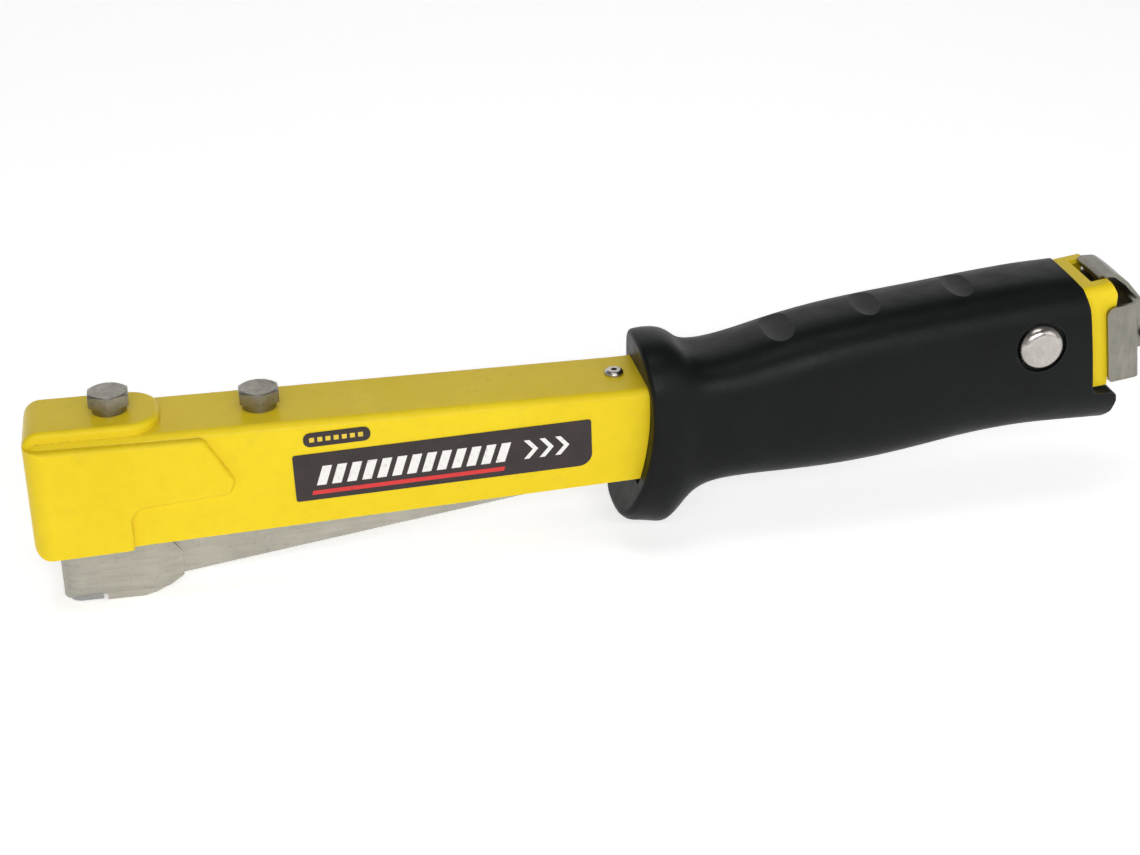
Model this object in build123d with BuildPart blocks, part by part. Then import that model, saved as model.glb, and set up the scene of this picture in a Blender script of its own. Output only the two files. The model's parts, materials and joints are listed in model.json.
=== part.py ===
"""Hammer tacker: a swinging staple magazine under a bent sheet-metal housing with a rubber grip.

Units are millimetres. +X runs from the striking head to the handle's end, +Z is up, and Y = 0 is the
tool's plane of symmetry. The origin is on the striking plane of the nose, midway along the tool.
The magazine is drawn on its own side plane, MAG, whose origin is the magazine's hinge axis.
"""

from build123d import *
import math
import os

# ---- overall places ----
LENGTH = 341.6
FRONT_X = -LENGTH / 2
THROUGH = 60.0  # longer than any cut needs to be
SAME = 0.01  # two places this close are the same place
NEAR = 0.1  # width of the band used to pick edges lying on one face
GAP = 0.4  # working gap round fitted springs, pins and plugs
SEAM = 0.3  # side gap of bushes, saddle and pin ends
SINK = 0.4  # how far a joined piece runs into the sheet that carries it
INNER_EDGE_R = 0.4

# ---- housing: one bent steel channel, closed at the front, open below and behind ----
HOUSING_HALF = 13.5
SHEET = 1.6
HEAD_TOP_Z = 54.0
HEAD_BOTTOM_FRONT_Z = 18.8
BEND_X = 5.0
HEAD_BOTTOM_REAR_Z = 25.6
HOUSING_END_X = 149.0
HANDLE_TOP_SLOPE = math.tan(math.radians(8.4))
HOUSING_END_TOP_Z = HEAD_TOP_Z + (HOUSING_END_X - BEND_X) * HANDLE_TOP_SLOPE
HOUSING_END_BOTTOM_Z = 42.0
FOLD_R = 2.6
FRONT_TOP_R = 5.0
FRONT_BOTTOM_R = 4.0
FRONT_PLAN_R = 6.0
BEND_R = 60.0
END_CORNER_R = 3.0
BOSS_HEIGHT = 3.0
BOSS_END_X = -133.0
BOSS_HALF = 11.6
BOSS_END_R = 9.0
BOSS_EDGE_R = 1.6
EMBOSS_PROUD = 2.2
EMBOSS_EDGE_R = 1.4
EMBOSS_CORNER_R = 2.0
STOP_LIP_START_X = -158.0
STOP_LIP_END_X = -146.0
STOP_LIP_INNER_Y = 9.2
LATCH_SLOT_HALF = 8.4
LATCH_SLOT_START_X = 142.4
HOUSING_OVERRUN = 6.0  # how far the form runs past the handle's end before it is trimmed
HOLLOW_OVERRUN = 12.0
END_CHAMFER_X = 14.0
END_CHAMFER_Z = 3.6
CUT_TOP_Z = 99.0
TOP_CUT_DEPTH = 9.0

# ---- bolts on the head ----
BOLT_R = 3.15
BOLT_FIT = 0.05
HEX_FLATS = 11.1
HEX_HEAD_H = 3.7
WASHER_R = 4.9
WASHER_H = 2.3
STRIKER_BOLT_X = -146.6
SPRING_BOLT_X = -105.0
STRIKER_BOLT_DEPTH = 10.0
NUT_H = 4.2
HEX_CONE_ANGLE = 60.0
HEX_CONE_TOP_R = 5.2
GRIP_RIVET_X = -1.6
GRIP_RIVET_HEAD_R = 2.9
GRIP_RIVET_HEAD_H = 1.5
GRIP_RIVET_R = 2.0
GRIP_RIVET_EYE_R = 0.9
GRIP_RIVET_EYE_DEPTH = 1.2
GRIP_RIVET_TAIL_H = 0.7
GRIP_WASHER_R = 4.0
GRIP_WASHER_H = 0.6
GRIP_RIVET_TAIL_RIM = 0.8
GRIP_RIVET_DOME = 0.8  # share of the head's height taken by its round
HEX_SIDES = 6
HEX_TURN = 30
STEM_SPARE = 0.6

# ---- magazine hinge and direction ----
PIVOT_X = 124.4
PIVOT_Z = 58.5
MAG_ANGLE = 8.1
PIN_R = 3.0
PIN_RUNNING_FIT = 0.05
RIVET_HEAD_R = 7.0
RIVET_HEAD_H = 3.2
RIVET_HEAD_BASE_Y = 16.4
RIVET_SHOULDER_R = 4.6
BUSH_R = 5.2
RIVET_RIM_H = 0.3

# ---- magazine channel, on its own side plane ----
CHANNEL_SHEET = 1.5
CHANNEL_HALF = 7.2
CHANNEL_FLOOR = -16.4
CHANNEL_TOP = 1.6
CHANNEL_START = -283.6
CHANNEL_END = 22.0
EAR_R = 6.6
RAIL_HALF = 4.0
RAIL_WALL = 1.2
RAIL_TOP = -5.5
RAIL_END = 12.0
RAIL_RIVET_PLACES = (-238.0, -130.0, -12.0)
RAIL_RIVET_R = 2.4
RAIL_RIVET_H = 0.8
CHANNEL_EDGE_R = 1.6
CHANNEL_LONG_EDGE = 50.0  # only the channel's long edges are longer than this
MAG_LENGTH = 700.0  # longer than the magazine
ROD_Y = -0.6
ROD_R = 1.5

# ---- nose ----
NOSE_FRONT_X = -164.8
NOSE_SHEET = 1.3
NOSE_HALF = CHANNEL_HALF + NOSE_SHEET
NOSE_CORNER_R = 5.2
NOSE_TOP_Z = 24.0
HEEL_START_X = -152.6
HEEL_FLAT_END_X = -142.0
SHOE_END_X = -130.4
SHOE_END_Z = 5.6
JOGGLE_LENGTH = 7.0
JOGGLE_PROUD = 0.25
EAR_Z = 21.5
EAR_SHEET = 1.4
EAR_HALF = 11.4
SHOE_SHOULDER_X = -138.0
SHOE_SHOULDER_H = 8.0
HEEL_CURVE = [(-134.6, 3.0), (-138.6, 0.9)]
SHOE_EDGE_R = 1.2
SHOE_LOW_CUT = 5.0
NOSE_PLATE_LOW_Z = 0.2
NOSE_PLATE_RISE = 1.2
NOSE_PLATE_END_GAP = 0.05
NOSE_PLATE_SIDE_GAP = 0.02

# ---- driver blade: it follows a circle about the hinge ----
BLADE_PATH_R = 285.2
BLADE_TANGENT_Y = 4.0
BLADE_HALF = 5.4
BLADE_T = 1.3
BLADE_BELOW = 7.4
BLADE_ABOVE = 28.6
GROOVE_FRONT = -286.6
GROOVE_HALF = 5.6
DRIVER_RIVET_HEIGHTS = (22.7, 26.5)
DRIVER_RIVET_R = 1.2
DRIVER_RIVET_HEAD_H = 0.8
DRIVER_RIVET_DEPTH = 3.0
DRIVER_RIVET_RIM = 0.6
DRIVER_RIVET_SPARE = 0.2
BUMPER_H = 2.6
BUMPER_LENGTH = 10.0
BUMPER_WIDTH = 14.0
BUMPER_CORNER_R = 2.0
BLOCK_BOTTOM_Z = 42.5
BLOCK_END_X = -138.0
BLOCK_HALF = 8.0
BLOCK_EDGE_R = 2.5

# ---- return spring ----
SPRING_R = 8.5
SPRING_WIRE = 1.8
SPRING_LOW_Z = 32.1
SEAT_Y = 3.4
SEAT_SHEET = 1.2
SEAT_LENGTH = 19.0
SEAT_ALONG = -231.0
SEAT_RING_WALL = 1.5
SEAT_RING_H = 1.4
SEAT_RIVET_H = 0.6
CUP_WALL = 1.5
CUP_DEPTH = 2.8
CUP_CUT = 4.0

# ---- loader: end cap, guide rod, pusher and latch, on the magazine's side plane ----
CAP_SHEET = 1.2
CAP_HALF = 15.0
CAP_START = 22.3
CAP_END = 32.4
CAP_TOP = 6.1
CAP_BOTTOM = -18.6
CAP_CORNER_R = 2.5
LATCH_PIN = (36.5, -6.5)
LATCH_PIN_R = 1.5
LATCH_HALF = 7.7
LATCH_SHEET = 1.2
BARREL_R = 2.7
LATCH_COIL_R = 2.6
LATCH_COIL_FIT = 0.1
LATCH_COIL_GAP = 0.2
LATCH_PIN_HEAD_R = 2.4
LATCH_PIN_HEAD_H = 0.8
EAR_CORNER_R = 3.4
CAP_EDGE_R = 2.2
CAP_POCKET = 40.0
CAP_POCKET_R = 1.0
COLLAR_R = 2.8
COLLAR_FRONT_LENGTH = 1.6
COLLAR_REAR_LENGTH = 1.4
LATCH_EAR_Y = 9.6
PUSHER_START = -283.2
PUSHER_LENGTH = 14.0
PUSHER_HALF = 5.3
PUSHER_ROOF = 1.4
PUSHER_LIFT = 0.8
PUSHER_RUNNING_GAP = 0.2
PUSHER_LUG_LENGTH = 3.0
PUSHER_LUG_BACK = 2.0
PUSHER_LUG_HALF = 4.0
PUSHER_BORE_DEPTH = 6.0
PUSHER_BORE_CUT = 10.0
ROD_FRONT = -274.6
PUSHER_SPRING_R = 3.0
PUSHER_SPRING_WIRE = 0.7

LATCH_PATH = [
    (23.4, 12.0),
    (23.4, 13.8),
    (28.0, 13.1),
    (31.7, 9.6),
    (37.6, 0.6),
    (39.4, -6.5),
    (40.9, -12.0),
    (44.05, -16.6),
]
LATCH_RADII = [0.8, 3.0, 5.0, 6.0, 6.0, 3.0]
LATCH_EAR_OUTLINE = [(31.6, -11.0), (39.9, -11.0), (39.9, -1.6), (34.6, 5.0), (31.6, 5.0)]
PLUG_START = 15.0
PLUG_LOW = -14.4
PLUG_TOP = 0.8
PLUG_HALF = 5.3
PUSHER_LUG_TOP = 1.6
SEAT_LOW = -5.0
SEAT_RIVET_Y = -2.0
SEAT_RIVET_STEPS = (-6.0, 6.0)
SEAT_RIVET_R = 1.4

# ---- rubber grip: sections across the handle as (X, top Z, bottom Z, half width, roundness) ----
GRIP_STATIONS = [
    (-4.0, 61.4, 10.4, 18.0, 2.6),
    (0.0, 63.4, 8.8, 18.8, 2.6),
    (4.0, 65.2, 7.4, 19.3, 2.6),
    (8.5, 65.9, 6.6, 19.5, 2.6),
    (12.0, 65.7, 6.6, 19.3, 2.6),
    (15.5, 64.2, 10.0, 18.7, 2.7),
    (19.0, 61.5, 14.8, 17.7, 2.9),
    (23.0, 60.4, 18.0, 17.1, 3.1),
    (30.0, 60.9, 19.8, 17.2, 3.1),
    (45.0, 64.6, 20.3, 17.8, 3.0),
    (65.0, 68.9, 20.8, 18.0, 3.0),
    (85.0, 71.5, 23.0, 18.0, 3.0),
    (105.0, 73.8, 26.4, 18.0, 3.0),
    (125.0, 75.7, 28.4, 18.0, 3.1),
    (142.0, 76.4, 28.4, 17.7, 3.2),
    (157.0, 77.0, 27.4, 16.2, 3.2),
]
SECTION_POINTS = 48
GRIP_REAR = [
    (134.6, 80.0),
    (136.0, 76.4),
    (138.3, 73.8),
    (139.6, 69.0),
    (140.2, 62.0),
    (142.6, 44.0),
    (143.4, 40.9),
    (151.0, 40.7),
    (151.8, 37.4),
    (151.4, 33.0),
    (149.4, 29.4),
    (144.6, 25.0),
]
GRIP_REAR_R = 2.0
GRIP_FRONT_X = GRIP_STATIONS[0][0]
GUARD_FACE_X = 6.2
GUARD_FACE_Z = 46.0
GUARD_FACE_R = 80.0
GUARD_RIM_R = 1.6
FINGER_GROOVES = [(45.0, 64.6), (73.0, 70.1), (102.0, 73.5)]
GROOVE_R = 11.0
GROOVE_DEPTH = 0.7
GRIP_FLOOR_BACK = (40.0, 28.7)
GRIP_FLOOR_FRONT = (-20.0, 20.1)
TONGUE_TOP_Z = 40.9
TONGUE_START_X = 143.0
COUNTERBORE_R = RIVET_HEAD_R + 0.8
COUNTERBORE_SINK = 0.02

# ---- labels ----
LABEL_T = 0.2
LABEL_SLOPE = math.tan(math.radians(1.9))
LABEL_X = (-97.6, -11.4)
LABEL_Z = (29.1, 43.9)
LABEL_SKEW = 0.5
LABEL_CORNER_R = 0.8
LABEL_LARGE_CORNER_R = 4.0
BADGE_X = (-94.2, -75.2)
BADGE_Z = (46.2, 50.6)
BADGE_CORNER_R = 2.0

# The magazine's side plane: x runs rearwards along the magazine and y is up, square to it.
MAG_COS = math.cos(math.radians(MAG_ANGLE))
MAG_SIN = math.sin(math.radians(MAG_ANGLE))
MAG = Plane(origin=(PIVOT_X, 0, PIVOT_Z), x_dir=(MAG_COS, 0, MAG_SIN), z_dir=(0, -1, 0))


def on_magazine(along, up):
    """The tool's X and Z of a point on the magazine's side plane."""
    return (
        PIVOT_X + along * MAG_COS - up * MAG_SIN,
        PIVOT_Z + along * MAG_SIN + up * MAG_COS,
    )


def magazine_line_z(x, up):
    """Height at X of the line parallel to the magazine, a distance up from the hinge axis."""
    return PIVOT_Z + (x - PIVOT_X) * MAG_SIN / MAG_COS + up / MAG_COS


# The blade's side plane: y runs up the blade, tangent to its path about the hinge.
BLADE_PHI = math.asin(BLADE_TANGENT_Y / BLADE_PATH_R)
BLADE_TILT = math.radians(MAG_ANGLE) - BLADE_PHI
BLADE_X, BLADE_Z = on_magazine(-BLADE_PATH_R * math.cos(BLADE_PHI), BLADE_TANGENT_Y)
BLADE = Plane(
    origin=(BLADE_X, 0, BLADE_Z),
    x_dir=(math.cos(BLADE_TILT), 0, math.sin(BLADE_TILT)),
    z_dir=(0, -1, 0),
)


def square_to_blade(height):
    """Plane across the blade's thickness, facing the block, at a height up the blade."""
    return Plane(origin=BLADE.origin + BLADE.y_dir * height, z_dir=BLADE.x_dir)


def head_bottom_z(x):
    """Height of the head's lower sheet edge."""
    share = (x - FRONT_X) / (BEND_X - FRONT_X)
    return HEAD_BOTTOM_FRONT_Z + share * (HEAD_BOTTOM_REAR_Z - HEAD_BOTTOM_FRONT_Z)


def handle_top_z(x):
    """Height of the handle channel's outer top."""
    return HEAD_TOP_Z + (x - BEND_X) * HANDLE_TOP_SLOPE


EMBOSS_OUTLINE = [
    (FRONT_X, HEAD_TOP_Z - 1.2),
    (-121.6, HEAD_TOP_Z - 1.7),
    (-113.8, HEAD_TOP_Z - 15.6),
    (-115.4, HEAD_TOP_Z - 19.6),
    (-141.0, HEAD_TOP_Z - 21.6),
    (-143.2, HEAD_TOP_Z - 24.6),
    (-143.2, HEAD_BOTTOM_FRONT_Z - 6),
    (FRONT_X, HEAD_BOTTOM_FRONT_Z - 6),
]


def side_face(sketch, outline, rounds=()):
    """Fill an outline in a side sketch and round the corners given as (point, radius)."""
    with BuildLine() as line:
        Polyline(*outline, close=True)
    make_face(line.edges())
    for (spot_x, spot_y), radius in rounds:
        fillet(sketch.vertices().sort_by_distance(Vector(spot_x, spot_y, 0))[0], radius)


def make_housing_form(inset, reach, fold_r, front_top_r):
    """The channel's solid form, inset by the sheet for its hollow and run on by reach where it is open."""
    half = HOUSING_HALF - inset
    front = FRONT_X + inset
    end = HOUSING_END_X + reach
    low = HEAD_BOTTOM_FRONT_Z - HOUSING_OVERRUN - reach
    outline = [
        (front, low),
        (front, HEAD_TOP_Z - inset),
        (BEND_X, HEAD_TOP_Z - inset),
        (end, handle_top_z(end) - inset),
        (end, low),
    ]
    with BuildPart() as form:
        with BuildSketch(Plane.XZ) as side:
            side_face(side, outline, [(outline[1], front_top_r), (outline[2], BEND_R)])
        extrude(amount=half, both=True)
        fold = form.edges().filter_by(
            lambda e: abs(abs(e.center().Y) - half) < SAME
            and e.center().X < end - 1
            and e.center().Z > low + 1
        )
        fillet(fold, fold_r)
    return form.part


def make_emboss(inset, reach):
    """The raised panels on both sides of the head, inset for their hollow."""
    with BuildPart() as emboss:
        with BuildSketch(Plane.XZ) as outline:
            with BuildLine():
                Polyline(*EMBOSS_OUTLINE, close=True)
            make_face()
            fillet(outline.vertices().filter_by(lambda v: FRONT_X + 1 < v.X), EMBOSS_CORNER_R)
            if inset:
                offset(amount=-inset)
        extrude(amount=HOUSING_HALF + EMBOSS_PROUD - inset, both=True)
        outer = emboss.faces().filter_by(Axis.Y)
        fillet(outer.edges(), EMBOSS_EDGE_R if not inset else INNER_EDGE_R)
    return emboss.part


def make_boss(inset):
    """The raised pad on the head's top, inset for its hollow."""
    top = HEAD_TOP_Z + BOSS_HEIGHT - inset
    front = FRONT_X + inset
    end = BOSS_END_X - inset
    low = HEAD_TOP_Z - 2 * FRONT_TOP_R
    with BuildPart() as boss:
        with BuildSketch(Plane.XZ) as side:
            side_face(
                side,
                [(front, low), (front, top), (end, top), (end, low)],
                [((front, top), FRONT_TOP_R)],
            )
        extrude(amount=BOSS_HALF - inset, both=True)
        fillet(boss.edges().filter_by(Axis.Z).group_by(Axis.X)[-1], BOSS_END_R)
        rim = boss.edges().filter_by(
            lambda e: e.center().Z > top - FRONT_TOP_R
            and (abs(e.center().Y) > 1 or e.center().Z > top - SAME and e.center().X > end - NEAR)
        )
        fillet(rim, BOSS_EDGE_R if not inset else INNER_EDGE_R)
    return boss.part


def make_head_plan(inset):
    """Upright block whose front corners give the head its rounded nose in plan."""
    half = HOUSING_HALF + EMBOSS_PROUD - inset
    length = HOUSING_END_X - FRONT_X + THROUGH
    with BuildPart() as plan:
        with BuildSketch(Plane.XY.offset(-THROUGH)):
            with Locations((FRONT_X + inset + length / 2, 0)):
                RectangleRounded(length, 2 * half, FRONT_PLAN_R - inset)
        extrude(amount=4 * THROUGH)
    return plan.part


def make_housing_hollow():
    """Everything inside the sheet: the channel, the raised panels and the raised pad."""
    with BuildPart() as hollow:
        add(make_housing_form(SHEET, HOLLOW_OVERRUN, FOLD_R - SHEET, FRONT_TOP_R - SHEET))
        add(make_emboss(SHEET, HOLLOW_OVERRUN))
        add(make_boss(SHEET))
        add(make_head_plan(SHEET), mode=Mode.INTERSECT)
    return hollow.part


def make_housing_shell():
    """Head and handle channel with its raised pads, bolt holes, latch slot and stop lips."""
    cut_outline = [
        (FRONT_X, head_bottom_z(FRONT_X)),
        (FRONT_X, CUT_TOP_Z),
        (HOUSING_END_X - END_CHAMFER_X, CUT_TOP_Z),
        (HOUSING_END_X, HOUSING_END_TOP_Z - END_CHAMFER_Z),
        (HOUSING_END_X, HOUSING_END_BOTTOM_Z),
        (BEND_X, HEAD_BOTTOM_REAR_Z),
    ]
    with BuildPart() as housing_shell:
        add(make_housing_form(0, HOUSING_OVERRUN, FOLD_R, FRONT_TOP_R))
        add(make_emboss(0, 0))
        add(make_boss(0))
        add(make_head_plan(0), mode=Mode.INTERSECT)
        add(make_housing_hollow(), mode=Mode.SUBTRACT)
        with BuildSketch(Plane.XZ) as side_cut:
            side_face(
                side_cut,
                cut_outline,
                [(cut_outline[0], FRONT_BOTTOM_R), (cut_outline[3], END_CORNER_R)],
            )
        extrude(amount=THROUGH, both=True, mode=Mode.INTERSECT)
        for side in (-1, 1):
            lip_low = head_bottom_z(STOP_LIP_START_X)
            lip_high = head_bottom_z(STOP_LIP_END_X)
            with BuildSketch(Plane.XZ.offset(-side * STOP_LIP_INNER_Y)) as lip:
                side_face(
                    lip,
                    [
                        (STOP_LIP_START_X, lip_low),
                        (STOP_LIP_END_X, lip_high),
                        (STOP_LIP_END_X, lip_high + SHEET),
                        (STOP_LIP_START_X, lip_low + SHEET),
                    ],
                )
            extrude(amount=-side * (HOUSING_HALF + EMBOSS_PROUD - SINK - STOP_LIP_INNER_Y))
        with BuildSketch(Plane.XY.offset(HEAD_TOP_Z - TOP_CUT_DEPTH)):
            with Locations((STRIKER_BOLT_X, 0), (SPRING_BOLT_X, 0)):
                Circle(BOLT_R + BOLT_FIT)
            with Locations((GRIP_RIVET_X, 0)):
                Circle(GRIP_RIVET_R + BOLT_FIT)
        extrude(amount=THROUGH, mode=Mode.SUBTRACT)
        with BuildSketch(MAG):
            Circle(PIN_R + BOLT_FIT)
        extrude(amount=THROUGH, both=True, mode=Mode.SUBTRACT)
        slot_length = HOUSING_END_X + HOUSING_OVERRUN - LATCH_SLOT_START_X
        with BuildSketch(Plane.XY.offset(HOUSING_END_TOP_Z - TOP_CUT_DEPTH)):
            with Locations((LATCH_SLOT_START_X + slot_length / 2, 0)):
                Rectangle(slot_length, 2 * LATCH_SLOT_HALF)
        extrude(amount=THROUGH, mode=Mode.SUBTRACT)
    return housing_shell


def make_hex_bolt(x, seat_z, depth):
    """A hex-head bolt standing on a seat height, with its shank going down by depth."""
    head_z = seat_z + WASHER_H
    with BuildPart() as bolt:
        with BuildSketch(Plane.XY.offset(head_z)):
            with Locations((x, 0)):
                RegularPolygon(HEX_FLATS / 2, HEX_SIDES, major_radius=False, rotation=HEX_TURN)
        extrude(amount=HEX_HEAD_H)
        with BuildSketch(Plane.XY.offset(head_z + HEX_HEAD_H)):
            with Locations((x, 0)):
                Circle(HEX_CONE_TOP_R)
        extrude(amount=-HEX_HEAD_H, taper=-HEX_CONE_ANGLE, mode=Mode.INTERSECT)
        with BuildSketch(Plane.XY.offset(head_z)):
            with Locations((x, 0)):
                Circle(BOLT_R)
        extrude(amount=-(WASHER_H + depth))
    return bolt


def make_striker_bolt():
    """Front bolt, which holds the striker block under the head."""
    return make_hex_bolt(STRIKER_BOLT_X, HEAD_TOP_Z + BOSS_HEIGHT, STRIKER_BOLT_DEPTH)


def make_spring_bolt():
    """Rear bolt, which holds the return spring's cup and nut."""
    return make_hex_bolt(SPRING_BOLT_X, HEAD_TOP_Z, SHEET + SEAT_SHEET + NUT_H + STEM_SPARE)


def make_bolt_washers():
    """Plain washers under both bolt heads."""
    with BuildPart() as bolt_washers:
        for x, z in ((STRIKER_BOLT_X, HEAD_TOP_Z + BOSS_HEIGHT), (SPRING_BOLT_X, HEAD_TOP_Z)):
            with BuildSketch(Plane.XY.offset(z)):
                with Locations((x, 0)):
                    Circle(WASHER_R)
                    Circle(BOLT_R + BOLT_FIT, mode=Mode.SUBTRACT)
            extrude(amount=WASHER_H)
    return bolt_washers


def make_spring_cup():
    """Inverted cup under the head's top that centres the return spring."""
    top = HEAD_TOP_Z - SHEET
    with BuildPart() as spring_cup:
        with BuildSketch(Plane.XY.offset(top)):
            with Locations((SPRING_BOLT_X, 0)):
                Circle(SPRING_R + CUP_WALL)
        extrude(amount=-CUP_DEPTH)
        with BuildSketch(Plane.XY.offset(top - SEAT_SHEET)):
            with Locations((SPRING_BOLT_X, 0)):
                Circle(SPRING_R + GAP)
        extrude(amount=-CUP_CUT, mode=Mode.SUBTRACT)
        with BuildSketch(Plane.XY.offset(top)):
            with Locations((SPRING_BOLT_X, 0)):
                Circle(BOLT_R + BOLT_FIT)
        extrude(amount=-CUP_CUT, mode=Mode.SUBTRACT)
    return spring_cup


def make_spring_nut():
    """Thin hex nut that clamps the spring cup."""
    with BuildPart() as spring_nut:
        with BuildSketch(Plane.XY.offset(HEAD_TOP_Z - SHEET - SEAT_SHEET)):
            with Locations((SPRING_BOLT_X, 0)):
                RegularPolygon(HEX_FLATS / 2, HEX_SIDES, major_radius=False, rotation=HEX_TURN)
                Circle(BOLT_R + BOLT_FIT, mode=Mode.SUBTRACT)
        extrude(amount=-NUT_H)
    return spring_nut


def make_return_spring():
    """Outer form of the coil that pushes the magazine down."""
    high = HEAD_TOP_Z - SHEET - SEAT_SHEET
    with BuildPart() as return_spring:
        with BuildSketch(Plane.XY.offset(SPRING_LOW_Z)):
            with Locations((SPRING_BOLT_X, 0)):
                Circle(SPRING_R)
                Circle(SPRING_R - SPRING_WIRE, mode=Mode.SUBTRACT)
        extrude(amount=high - SPRING_LOW_Z)
    return return_spring


def blade_back_x(z):
    """X of the driver blade's rear face at a height."""
    return BLADE_X - (z - BLADE_Z) * math.tan(BLADE_TILT) + BLADE_T / 2 / math.cos(BLADE_TILT)


def make_striker_block():
    """Steel block under the head's top that carries the driver blade."""
    top = HEAD_TOP_Z + BOSS_HEIGHT - SHEET
    with BuildPart() as striker_block:
        with BuildSketch(Plane.XZ) as side:
            side_face(
                side,
                [
                    (blade_back_x(BLOCK_BOTTOM_Z), BLOCK_BOTTOM_Z),
                    (blade_back_x(top), top),
                    (BLOCK_END_X, top),
                    (BLOCK_END_X, BLOCK_BOTTOM_Z),
                ],
                [((BLOCK_END_X, BLOCK_BOTTOM_Z), BLOCK_EDGE_R), ((blade_back_x(top), top), BLOCK_EDGE_R)],
            )
        extrude(amount=BLOCK_HALF, both=True)
        with BuildSketch(Plane.XY.offset(BLOCK_BOTTOM_Z)):
            with Locations((STRIKER_BOLT_X, 0)):
                Circle(BOLT_R + BOLT_FIT)
        extrude(amount=THROUGH, mode=Mode.SUBTRACT)
        for height in DRIVER_RIVET_HEIGHTS:
            with BuildSketch(square_to_blade(height)):
                Circle(DRIVER_RIVET_R + BOLT_FIT)
            extrude(amount=BLADE_T / 2 + DRIVER_RIVET_DEPTH + DRIVER_RIVET_SPARE, mode=Mode.SUBTRACT)
    return striker_block


def make_driver_blade():
    """Flat hardened blade that strikes the staple."""
    with BuildPart() as driver_blade:
        with BuildSketch(BLADE) as side:
            side_face(
                side,
                [
                    (-BLADE_T / 2, -BLADE_BELOW),
                    (BLADE_T / 2, -BLADE_BELOW),
                    (BLADE_T / 2, BLADE_ABOVE),
                    (-BLADE_T / 2, BLADE_ABOVE),
                ],
            )
        extrude(amount=BLADE_HALF, both=True)
        for height in DRIVER_RIVET_HEIGHTS:
            with BuildSketch(square_to_blade(height)):
                Circle(DRIVER_RIVET_R + BOLT_FIT)
            extrude(amount=BLADE_T, both=True, mode=Mode.SUBTRACT)
    return driver_blade


def make_driver_rivets():
    """Rivets that fix the blade to its block."""
    with BuildPart() as driver_rivets:
        for height in DRIVER_RIVET_HEIGHTS:
            with BuildSketch(square_to_blade(height).offset(-BLADE_T / 2 - DRIVER_RIVET_HEAD_H)):
                Circle(DRIVER_RIVET_R)
            extrude(amount=DRIVER_RIVET_HEAD_H + BLADE_T + DRIVER_RIVET_DEPTH)
            with BuildSketch(square_to_blade(height).offset(-BLADE_T / 2)):
                Circle(DRIVER_RIVET_R + DRIVER_RIVET_RIM)
            extrude(amount=-DRIVER_RIVET_HEAD_H)
    return driver_rivets


def make_bumper():
    """Rubber pad under the striker block that takes the magazine's upward blow."""
    with BuildPart() as bumper:
        with BuildSketch(Plane.XY.offset(BLOCK_BOTTOM_Z)):
            with Locations((STRIKER_BOLT_X, 0)):
                RectangleRounded(BUMPER_LENGTH, BUMPER_WIDTH, BUMPER_CORNER_R)
        extrude(amount=-BUMPER_H)
    return bumper


def make_grip_rivet():
    """Small dome rivet with a dimpled head, on the head's top beside the grip."""
    tail_top = HEAD_TOP_Z - SHEET - GRIP_WASHER_H
    with BuildPart() as grip_rivet:
        with BuildSketch(Plane.XY.offset(HEAD_TOP_Z)):
            with Locations((GRIP_RIVET_X, 0)):
                Circle(GRIP_RIVET_HEAD_R)
        extrude(amount=GRIP_RIVET_HEAD_H)
        fillet(grip_rivet.faces().sort_by(Axis.Z)[-1].edges(), GRIP_RIVET_DOME * GRIP_RIVET_HEAD_H)
        with BuildSketch(Plane.XY.offset(HEAD_TOP_Z)):
            with Locations((GRIP_RIVET_X, 0)):
                Circle(GRIP_RIVET_R)
        extrude(amount=tail_top - HEAD_TOP_Z)
        with BuildSketch(Plane.XY.offset(tail_top)):
            with Locations((GRIP_RIVET_X, 0)):
                Circle(GRIP_RIVET_R + GRIP_RIVET_TAIL_RIM)
        extrude(amount=-GRIP_RIVET_TAIL_H)
        with BuildSketch(Plane.XY.offset(HEAD_TOP_Z + GRIP_RIVET_HEAD_H)):
            with Locations((GRIP_RIVET_X, 0)):
                Circle(GRIP_RIVET_EYE_R)
        extrude(amount=-GRIP_RIVET_EYE_DEPTH, mode=Mode.SUBTRACT)
    return grip_rivet


def make_rivet_washer():
    """Backing washer of the small dome rivet, inside the head."""
    with BuildPart() as rivet_washer:
        with BuildSketch(Plane.XY.offset(HEAD_TOP_Z - SHEET)):
            with Locations((GRIP_RIVET_X, 0)):
                Circle(GRIP_WASHER_R)
                Circle(GRIP_RIVET_R + BOLT_FIT, mode=Mode.SUBTRACT)
        extrude(amount=-GRIP_WASHER_H)
    return rivet_washer


def make_pivot_rivets():
    """Two domed stub rivets on the hinge axis, one each side, clear of the staples' way."""
    with BuildPart() as pivot_rivets:
        for side in (-1, 1):
            base = MAG.offset(-side * RIVET_HEAD_BASE_Y)
            with BuildSketch(MAG.offset(-side * (CHANNEL_HALF - CHANNEL_SHEET + NEAR))):
                Circle(PIN_R)
            extrude(amount=-side * (HOUSING_HALF - CHANNEL_HALF + CHANNEL_SHEET - NEAR))
            with BuildSketch(MAG.offset(-side * HOUSING_HALF)):
                Circle(RIVET_SHOULDER_R)
            extrude(amount=-side * (RIVET_HEAD_BASE_Y - HOUSING_HALF))
            with BuildSketch(base):
                Circle(RIVET_HEAD_R)
            extrude(amount=-side * RIVET_HEAD_H)
        dome_r = RIVET_HEAD_H - RIVET_RIM_H
        near_top = pivot_rivets.faces().filter_by(Axis.Y).group_by(Axis.Y)[0]
        fillet(near_top.edges(), dome_r)
        far_top = pivot_rivets.faces().filter_by(Axis.Y).group_by(Axis.Y)[-1]
        fillet(far_top.edges(), dome_r)
    return pivot_rivets


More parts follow.
